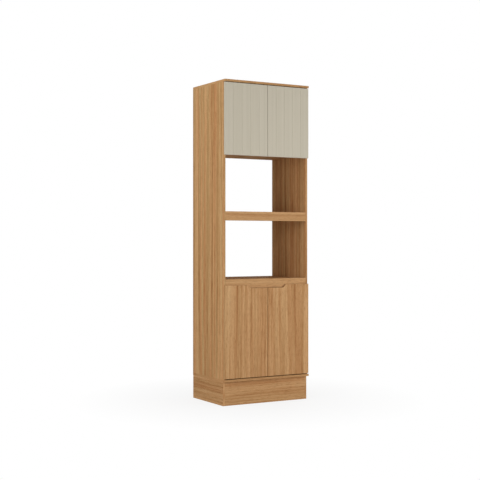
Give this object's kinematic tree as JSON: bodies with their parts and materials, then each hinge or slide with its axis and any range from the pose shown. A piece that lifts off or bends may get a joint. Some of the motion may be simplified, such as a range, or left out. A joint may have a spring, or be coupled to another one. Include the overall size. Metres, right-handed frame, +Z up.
{
  "type": "tall double oven cabinet",
  "caption": "Tall kitchen cabinet with doors below, open oven niches one above the other, grooved doors on top and a recessed plinth.",
  "frame": {"origin": "middle of the outer box at floor level", "axes": "+Z up, -Y out of the doors, +X to the right of someone facing the doors"},
  "size_m": [0.7, 0.49, 2.29],
  "materials": {
    "wood_grain_board": "matt laminate with a warm mid-brown oak-like grain",
    "greige_panel": "matt greige lacquer film on grooved fibreboard",
    "hardboard": "smooth hardboard",
    "dowel_beech": "fluted beech",
    "nail_steel": "bright wire",
    "clear_bumper": "clear soft polyurethane",
    "cast_zinc": "die-cast zinc",
    "zinc_plated_steel": "zinc plated",
    "hinge_steel": "nickel plated pressed steel"
  },
  "bodies": {
    "carcass": {"back_nails": "nail_steel", "bottom_panel": "wood_grain_board", "bracket_screws": "zinc_plated_steel", "cam_bolts": "zinc_plated_steel", "cam_locks": "cast_zinc", "lower_back": "hardboard", "lower_inner_shelf": "wood_grain_board", "lower_left_hinge_arm_screws": "zinc_plated_steel", "lower_left_hinge_arms": "hinge_steel", "lower_left_hinge_plates": "hinge_steel", "lower_right_hinge_arm_screws": "zinc_plated_steel", "lower_right_hinge_arms": "hinge_steel", "lower_right_hinge_plates": "hinge_steel", "middle_shelf": "wood_grain_board", "middle_shelf_rail": "wood_grain_board", "middle_shelf_rear_rail": "wood_grain_board", "niche_floor": "wood_grain_board", "niche_floor_rail": "wood_grain_board", "plate_screws": "zinc_plated_steel", "plinth_back": "wood_grain_board", "plinth_brackets": "zinc_plated_steel", "plinth_front": "wood_grain_board", "plinth_side_left": "wood_grain_board", "plinth_side_right": "wood_grain_board", "shelf_pins": "zinc_plated_steel", "side_panel_left": "wood_grain_board", "side_panel_right": "wood_grain_board", "top_panel": "wood_grain_board", "upper_back": "hardboard", "upper_floor": "wood_grain_board", "upper_left_hinge_arm_screws": "zinc_plated_steel", "upper_left_hinge_arms": "hinge_steel", "upper_left_hinge_plates": "hinge_steel", "upper_right_hinge_arm_screws": "zinc_plated_steel", "upper_right_hinge_arms": "hinge_steel", "upper_right_hinge_plates": "hinge_steel", "wall_fixing_rail": "wood_grain_board", "wood_dowels": "dowel_beech"},
    "upper_door_left": {"upper_door_left": "greige_panel", "upper_left_hinge_cups": "hinge_steel", "upper_left_hinge_pins": "hinge_steel", "upper_left_hinge_cup_screws": "zinc_plated_steel", "upper_left_bumpers": "clear_bumper"},
    "upper_door_right": {"upper_door_right": "greige_panel", "upper_right_hinge_cups": "hinge_steel", "upper_right_hinge_pins": "hinge_steel", "upper_right_hinge_cup_screws": "zinc_plated_steel", "upper_right_bumpers": "clear_bumper"},
    "lower_door_left": {"lower_door_left": "wood_grain_board", "lower_left_hinge_cups": "hinge_steel", "lower_left_hinge_pins": "hinge_steel", "lower_left_hinge_cup_screws": "zinc_plated_steel", "lower_left_bumpers": "clear_bumper"},
    "lower_door_right": {"lower_door_right": "wood_grain_board", "lower_right_hinge_cups": "hinge_steel", "lower_right_hinge_pins": "hinge_steel", "lower_right_hinge_cup_screws": "zinc_plated_steel", "lower_right_bumpers": "clear_bumper"}
  },
  "joints": [
    {"name": "upper_door_left_swing", "type": "hinge", "parent": "carcass", "child": "upper_door_left", "pos_m": [-0.34297, -0.2345, 2.01575], "axis": [0, 0, -1], "range_deg": [0, 105]},
    {"name": "upper_door_right_swing", "type": "hinge", "parent": "carcass", "child": "upper_door_right", "pos_m": [0.34297, -0.2345, 2.01575], "axis": [0, 0, 1], "range_deg": [0, 105]},
    {"name": "lower_door_left_swing", "type": "hinge", "parent": "carcass", "child": "lower_door_left", "pos_m": [-0.34297, -0.2345, 0.51775], "axis": [0, 0, -1], "range_deg": [0, 105]},
    {"name": "lower_door_right_swing", "type": "hinge", "parent": "carcass", "child": "lower_door_right", "pos_m": [0.34297, -0.2345, 0.51775], "axis": [0, 0, 1], "range_deg": [0, 105]}
  ]
}
